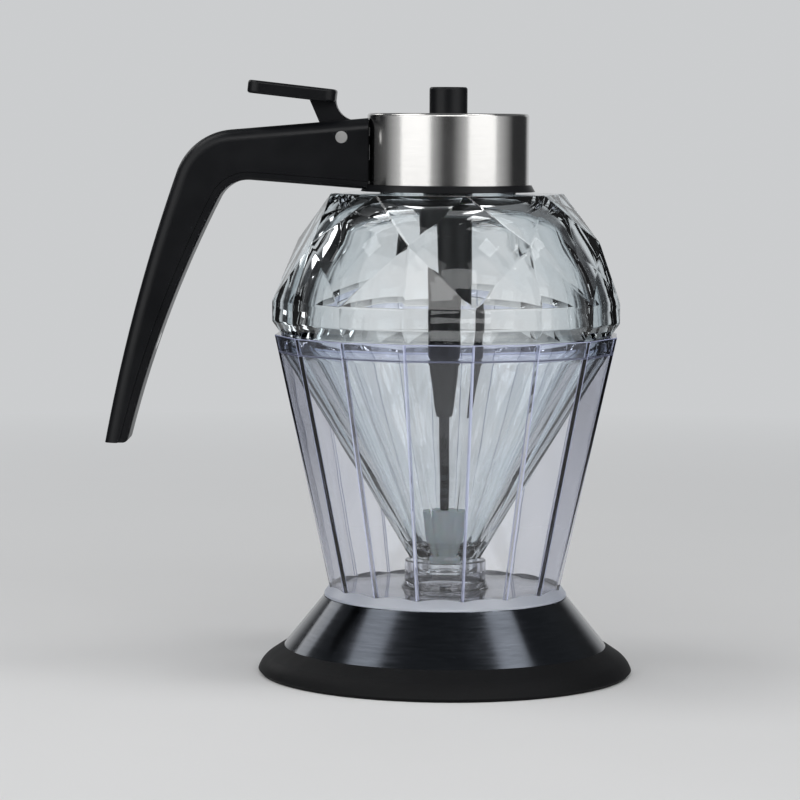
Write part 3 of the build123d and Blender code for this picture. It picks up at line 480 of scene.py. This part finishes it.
def rounded(corners, steps=5):
    """Outline through (radius, height, rounding) corners, with an arc at each rounded one."""
    points = []
    for index, (radius, height, rounding) in enumerate(corners):
        here = Vector((radius, height))
        if not rounding:
            points.append(here)
            continue
        back = (Vector(corners[index - 1][:2]) - here).normalized()
        ahead = (Vector(corners[index + 1][:2]) - here).normalized()
        half = back.angle(ahead) / 2
        centre = here + (back + ahead).normalized() * rounding / math.sin(half)
        start = here + back * rounding / math.tan(half) - centre
        turn = start.angle_signed(here + ahead * rounding / math.tan(half) - centre)
        for step in range(steps + 1):
            points.append(centre + Matrix.Rotation(-turn * step / steps, 2) @ start)
    return points


def bulged(start, end, bulge, steps=12):
    """Corners between two places on an arc that stands out from its chord."""
    start = Vector(start)
    chord = Vector(end) - start
    out = Vector((chord.y, -chord.x)).normalized()
    radius = (chord.length_squared / 4 + bulge ** 2) / (2 * bulge)
    centre = start + chord / 2 - out * (radius - bulge)
    turn = (start - centre).angle_signed(Vector(end) - centre)
    corners = []
    for step in range(1, steps):
        place = centre + Matrix.Rotation(-turn * step / steps, 2) @ (start - centre)
        corners.append((place.x, place.y, 0))
    return corners


# Building blocks for meshes

def new_ring(mesh, places):
    """Points of the mesh at some places."""
    return [mesh.verts.new(place) for place in places]


def band(mesh, low, high):
    """Faces between two rings that have the same number of points."""
    for here in range(len(low)):
        there = (here + 1) % len(low)
        mesh.faces.new((low[here], low[there], high[there], high[here]))


def bands(mesh, rings):
    """Faces between each ring and the next."""
    for low, high in zip(rings, rings[1:]):
        band(mesh, low, high)


def lathe(mesh, outline, sides=128, start=0.0):
    """Surface of revolution about Z through an outline. Returns its first and last ring."""
    rings = []
    for point in outline:
        places = []
        for step in range(sides):
            turn = start + 2 * math.pi * step / sides
            places.append(Vector((point.x * math.cos(turn), point.x * math.sin(turn), point.y)) * mm)
        rings.append(new_ring(mesh, places))
    bands(mesh, rings)
    return rings[0], rings[-1]


def coil(mesh, radius, start, pitch, turns, wire_radius, steps=96, sides=10):
    """Round wire or bead that winds up round the axis, with closed ends. Steps are per turn."""
    rings = []
    for step in range(int(turns * steps) + 1):
        turn = 2 * math.pi * step / steps
        way = Vector((math.cos(turn), math.sin(turn), 0))
        middle = way * radius + Vector((0, 0, start + pitch * step / steps))
        places = []
        for side in range(sides):
            lean = 2 * math.pi * side / sides
            out = way * math.cos(lean) + Vector((0, 0, math.sin(lean)))
            places.append((middle + out * wire_radius) * mm)
        rings.append(new_ring(mesh, places))
    bands(mesh, rings)
    mesh.faces.new(rings[0])
    mesh.faces.new(rings[-1])


def loop_edges(mesh, ring):
    """Edges that join a closed ring of points."""
    return [mesh.edges.get((here, there)) for here, there in zip(ring, ring[1:] + ring[:1])]


def round_edges(mesh, edges, radius, slot=-1):
    """Rounds edges of the mesh; at slot -1 the new faces take their neighbours' material slot."""
    bmesh.ops.recalc_face_normals(mesh, faces=mesh.faces)
    bmesh.ops.bevel(mesh, geom=edges, offset=radius * mm, offset_type="OFFSET", segments=edge_steps,
                    profile=0.5, affect="EDGES", clamp_overlap=True, material=slot)


def open_face(mesh, height):
    """Takes out the widest level face at a height and returns its edges."""
    level = []
    for face in mesh.faces:
        if abs(face.calc_center_median().z - height * mm) < level_tolerance * mm:
            level.append(face)
    widest = max(level, key=lambda face: face.calc_area())
    edges = list(widest.edges)
    bmesh.ops.delete(mesh, geom=[widest], context="FACES_ONLY")
    return edges


def join_round(mesh, ring, height):
    """Fills the widest level face at a height again, round a ring that stands inside it."""
    rim = open_face(mesh, height)
    bmesh.ops.triangle_fill(mesh, use_beauty=True, edges=rim + loop_edges(mesh, ring))


def finished_piece(name, mesh, body, node, slot):
    """Turns a bmesh into a piece on a body in a node's place, with sharp edges kept sharp."""
    bmesh.ops.recalc_face_normals(mesh, faces=mesh.faces)
    for face in mesh.faces:
        face.smooth = True
    for edge in mesh.edges:
        edge.smooth = len(edge.link_faces) == 2 and edge.calc_face_angle() < math.radians(soft_angle)
    data = bpy.data.meshes.new(name)
    mesh.to_mesh(data)
    mesh.free()
    data.materials.append(finishes[slot])
    piece = bpy.data.objects.new(name, data)
    bpy.context.scene.collection.objects.link(piece)
    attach(piece, body)
    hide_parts(node)
    return piece


def flatten_shading(piece):
    """Shades the broad faces of a piece as flat, so that only its rounded edges turn the light."""
    flat = piece.modifiers.new("flat", "WEIGHTED_NORMAL")
    flat.keep_sharp = True
    flat.weight = 100


# Bottle

def crown_facets(mesh, girdle):
    """Kites and triangles between the girdle and the level top."""
    half_count = facet_count // 2
    apex_radius = kite_distance() / math.cos(math.pi / half_count)
    apexes = new_ring(mesh, facet_ring(apex_radius, apex_height, half_count, 1))
    top = new_ring(mesh, facet_ring(*shoulder, half_count))
    for side in range(half_count):
        after = (side + 1) % half_count
        here = girdle[2 * side]
        between = girdle[2 * side + 1]
        ahead = girdle[(2 * side + 2) % facet_count]
        mesh.faces.new((top[side], top[after], apexes[side]))
        mesh.faces.new((top[side], apexes[side], here, apexes[side - 1]))
        mesh.faces.new((apexes[side], here, between))
        mesh.faces.new((apexes[side], between, ahead))
    mesh.faces.new(top)


def cut_facets(mesh):
    """Facets of the bottle's outside, with their edges rounded as polishing leaves them."""
    band_low = ledge_height + band_lift
    stations = [
        spout_shoulder,
        cone_middle,
        (inside_corner(band_low, cup_wall) - band_clearance, band_low),
        (inside_corner(band_low, cup_rim_wall) - band_clearance, band_low),
        (inside_corner(cup_rim[1], cup_rim_wall) - band_clearance, cup_rim[1]),
        (girdle_radius, girdle_low),
        (girdle_radius, girdle_top),
    ]
    rings = [new_ring(mesh, facet_ring(*station)) for station in stations]
    bands(mesh, rings)
    mesh.faces.new(rings[0])
    crown_facets(mesh, rings[-1])
    round_edges(mesh, list(mesh.edges), facet_edge)
    bmesh.ops.dissolve_degenerate(mesh, dist=sliver * mm, edges=mesh.edges)


def make_bottle():
    """Cut glass bottle: faceted outside, round neck, cavity and nozzle, and the thread's bead."""
    mesh = bmesh.new()
    cut_facets(mesh)
    dome_low = (cavity_radius, cavity_high)
    dome_middle = (kite_distance() - dome_glass, apex_height)
    outline = [
        (neck_radius + neck_root, shoulder[1], 0),
        (neck_radius, shoulder[1], 0.6),
        (neck_radius, neck_top, 0.9),
        (neck_bore, neck_top, 0.9),
        (neck_bore, dome_top[1] + neck_throat, 1.5),
        (*dome_top, 0),
        *reversed(bulged(dome_middle, dome_top, dome_top_bulge)),
        (*dome_middle, 0),
        *reversed(bulged(dome_low, dome_middle, dome_bulge)),
        (*dome_low, 0),
        (cavity_radius, cavity_low, 6.0),
        (*cavity_middle, 8.0),
        (*cavity_flare, 4.0),
        (nozzle_bore, nozzle_seat, 1.0),
        (nozzle_bore, nozzle_low, 0.4),
        (spout_radius, nozzle_low, 0.8),
        (spout_radius, spout_shoulder[1], 0),
    ]
    neck_ring, spout_ring = lathe(mesh, rounded(outline))
    join_round(mesh, neck_ring, shoulder[1])
    join_round(mesh, spout_ring, spout_shoulder[1])
    coil(mesh, neck_radius, thread_start, thread_pitch, 1, thread_bead_radius)
    flatten_shading(finished_piece("cut_glass_bottle", mesh, "bottle", "glass_bottle", "cut_glass"))


# Return spring

def make_spring():
    """Return spring, drawn at one length; in the dispenser the rising plunger shortens it towards its
    upper end.
    """
    mesh = bmesh.new()
    low = spring_top - spring_length + spring_wire / 2
    pitch = (spring_length - spring_wire) / spring_turns
    coil(mesh, spring_radius, low, pitch, spring_turns, spring_wire / 2, steps=32)
    spring = finished_piece("coiled_spring", mesh, "lid", "return_spring", "steel_hardware")
    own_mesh(spring)


# Cup

# Slot 2 holds painted edge lines: a darker, half-opaque lavender finish on the cup's rounded corners.
frosted_slot = 1             # places of the cup's further finishes
painted_edge_line_slot = 2


def cup_sides(mesh, foot):
    """Cup's flat sides, its lip, the ledge inside and the floor. Returns the edges to be rounded."""
    stations = [
        cup_rim,
        (inside_corner(cup_rim[1], cup_rim_wall), cup_rim[1]),
        (inside_corner(ledge_height, cup_rim_wall), ledge_height),
        (inside_corner(ledge_height, cup_wall), ledge_height),
        (inside_corner(cup_floor, cup_wall), cup_floor),
    ]
    rings = [new_ring(mesh, facet_ring(*station)) for station in stations]
    bands(mesh, rings)
    rim = rings[0]
    for side in range(facet_count):
        after = (side + 1) % facet_count
        arch = (foot + foot[:1])[side * arch_steps:(side + 1) * arch_steps + 1]
        mesh.faces.new([*arch, rim[after], rim[side]])
    floor = mesh.faces.new(rings[-1])
    kept = set(floor.edges) | set(loop_edges(mesh, foot))
    return [edge for edge in mesh.edges if edge not in kept]


def cup_underside(mesh, foot):
    """Flange that runs up onto the cup's sides, and the hub that takes the base screw."""
    outline = [
        (flange_face, flange_top, 0),
        (flange_radius, cup_base + flange_edge, 0.3),
        (flange_radius, cup_base, 0.2),
        (hub_radius, cup_base, 0.5),
        (hub_radius, hub_end, 0.4),
        (hub_bore, hub_end, 0),
        (hub_bore, hub_bore_end, 0),
        (axis_gap, hub_bore_end, 0),
    ]
    flange_ring, hub_ring = lathe(mesh, rounded(outline), len(foot), math.radians(facet_phase - 90))
    mesh.faces.new(hub_ring)
    band(mesh, flange_ring, foot)


def drip_well(mesh):
    """Round well on the cup's floor."""
    outline = [
        (well_radius + well_foot_width, cup_floor, 0),
        (well_radius, cup_floor + 2 * well_foot_width, 0.8),
        (well_radius, well_top, 0.3),
        (well_bore, well_top, 0.3),
        (well_bore, well_floor, 0.6),
        (axis_gap, well_floor, 0),
    ]
    well_ring, floor_ring = lathe(mesh, rounded(outline))
    mesh.faces.new(floor_ring)
    join_round(mesh, well_ring, cup_floor)


def make_cup():
    """Clear sixteen-sided cup: faceted wall with a thin lip, round flange, drip well and hub."""
    mesh = bmesh.new()
    foot = new_ring(mesh, flange_arches())
    corners = cup_sides(mesh, foot)
    cup_underside(mesh, foot)
    # The rounded corners take a darker, half-opaque lavender finish: painted edge lines.
    round_edges(mesh, corners, cup_edge, painted_edge_line_slot)
    drip_well(mesh)
    cup = finished_piece("clear_cup", mesh, "stand", "stand_cup", "clear_acrylic")
    flatten_shading(cup)
    cup.data.materials.append(finishes["frosted_acrylic"])
    cup.data.materials.append(finishes["acrylic_painted_edge_lines"])
    for face in cup.data.polygons:
        if face.center.z < cup_floor * mm and face.center.xy.length > frost_radius * mm:
            face.material_index = frosted_slot


dress_nodes()
make_bottle()
make_cup()
make_spring()


# Studio: floor, backdrop, lamps and camera

def make_floor():
    """Round pale floor that fades into the backdrop's colour far from the object."""
    bpy.ops.mesh.primitive_circle_add(vertices=96, radius=floor_radius, fill_type="NGON")
    floor = bpy.context.object
    floor.name = "floor"
    material, tree, shader = new_material("floor", Roughness=0.85)
    patches = placed(tree, grain, Size=3.0, Patch_Size=120.0).outputs["Patches"]
    darker = [floor_mottle * part for part in floor_colour]
    tree.links.new(mixed(tree, patches, darker, floor_colour), shader.inputs["Base Color"])
    place = object_place(tree)
    rays = add(tree, "ShaderNodeLightPath").outputs
    sooner = maths(tree, "MULTIPLY_ADD", rays["Is Glossy Ray"], gloss_fade - 1.0, 1.0)
    distance = maths(tree, "MULTIPLY", vector_maths(tree, "LENGTH", {0: place}, "Value"), sooner)
    far = span(tree, distance, fade_start, fade_end)
    walls = placed(tree, tent, Direction=place).outputs["Colour"]
    beyond = mixed(tree, rays["Is Glossy Ray"], backdrop_colour, walls)
    glow = add(tree, "ShaderNodeEmission", {"Color": beyond}).outputs[0]
    seen = maths(tree, "SUBTRACT", 1.0, rays["Is Diffuse Ray"])
    share = maths(tree, "MULTIPLY", far, seen)
    blend = add(tree, "ShaderNodeMixShader", {0: share, 1: shader.outputs[0], 2: glow}).outputs[0]
    tree.links.new(blend, tree.nodes["Material Output"].inputs["Surface"])
    floor.data.materials.append(material)


def make_world():
    """Tent of soft light under a dimmer ceiling. The camera itself sees the backdrop's colour."""
    world = bpy.data.worlds.new("studio")
    bpy.context.scene.world = world
    world.use_nodes = True
    tree = world.node_tree
    tree.nodes.clear()
    place = add(tree, "ShaderNodeTexCoord").outputs["Generated"]
    height = add(tree, "ShaderNodeSeparateXYZ", {"Vector": place}).outputs["Z"]
    walls = placed(tree, tent, Direction=place).outputs["Colour"]
    lit = mixed(tree, span(tree, height, *ceiling_start), walls, ceiling_colour)
    rays = add(tree, "ShaderNodeLightPath").outputs
    colour = mixed(tree, rays["Is Camera Ray"], lit, backdrop_colour)
    background = add(tree, "ShaderNodeBackground", {"Color": colour, "Strength": 1.0}).outputs[0]
    output = add(tree, "ShaderNodeOutputWorld")
    tree.links.new(background, output.inputs["Surface"])


def softbox(name, place, width, height, power):
    """Rectangular lamp aimed at the middle of the object. Power is in watts."""
    lamp = bpy.data.lights.new(name, "AREA")
    lamp.shape = "RECTANGLE"
    lamp.size = width
    lamp.size_y = height
    lamp.energy = power
    holder = bpy.data.objects.new(name, lamp)
    bpy.context.scene.collection.objects.link(holder)
    holder.location = place
    holder.rotation_euler = (Vector(lamp_aim) - Vector(place)).to_track_quat("-Z", "Y").to_euler()


def make_lamps():
    """Six softboxes: two broad ones beside the camera, one above it, two overhead and one behind."""
    softbox("left_softbox", place=(-0.87, -0.79, 0.62), width=1.15, height=1.25, power=5.6)
    softbox("right_softbox", place=(0.86, -0.72, 0.62), width=1.05, height=1.25, power=4.6)
    softbox("top_left_softbox", place=(-0.64, 0.03, 1.10), width=0.55, height=0.60, power=3.0)
    softbox("top_right_softbox", place=(0.52, -0.12, 1.10), width=0.36, height=0.60, power=2.2)
    softbox("front_softbox", place=(0.10, -1.15, 0.80), width=1.0, height=0.5, power=5.0)
    softbox("back_softbox", place=(-0.75, 0.81, 0.60), width=0.35, height=0.45, power=1.0)


def make_camera():
    """Camera in the photograph's place."""
    lens = bpy.data.cameras.new("camera")
    lens.lens = camera_lens
    lens.sensor_width = camera_sensor
    lens.clip_start = 0.01
    camera = bpy.data.objects.new("camera", lens)
    bpy.context.scene.collection.objects.link(camera)
    camera.matrix_world = (
        Matrix.Translation(camera_place)
        @ Matrix.Rotation(math.radians(camera_turn), 4, "Z")
        @ Matrix.Rotation(math.radians(camera_tilt), 4, "X")
        @ Matrix.Rotation(math.radians(camera_roll), 4, "Z")
    )
    bpy.context.scene.camera = camera


make_floor()
make_world()
make_lamps()
make_camera()
bpy.context.scene.view_settings.view_transform = "Standard"
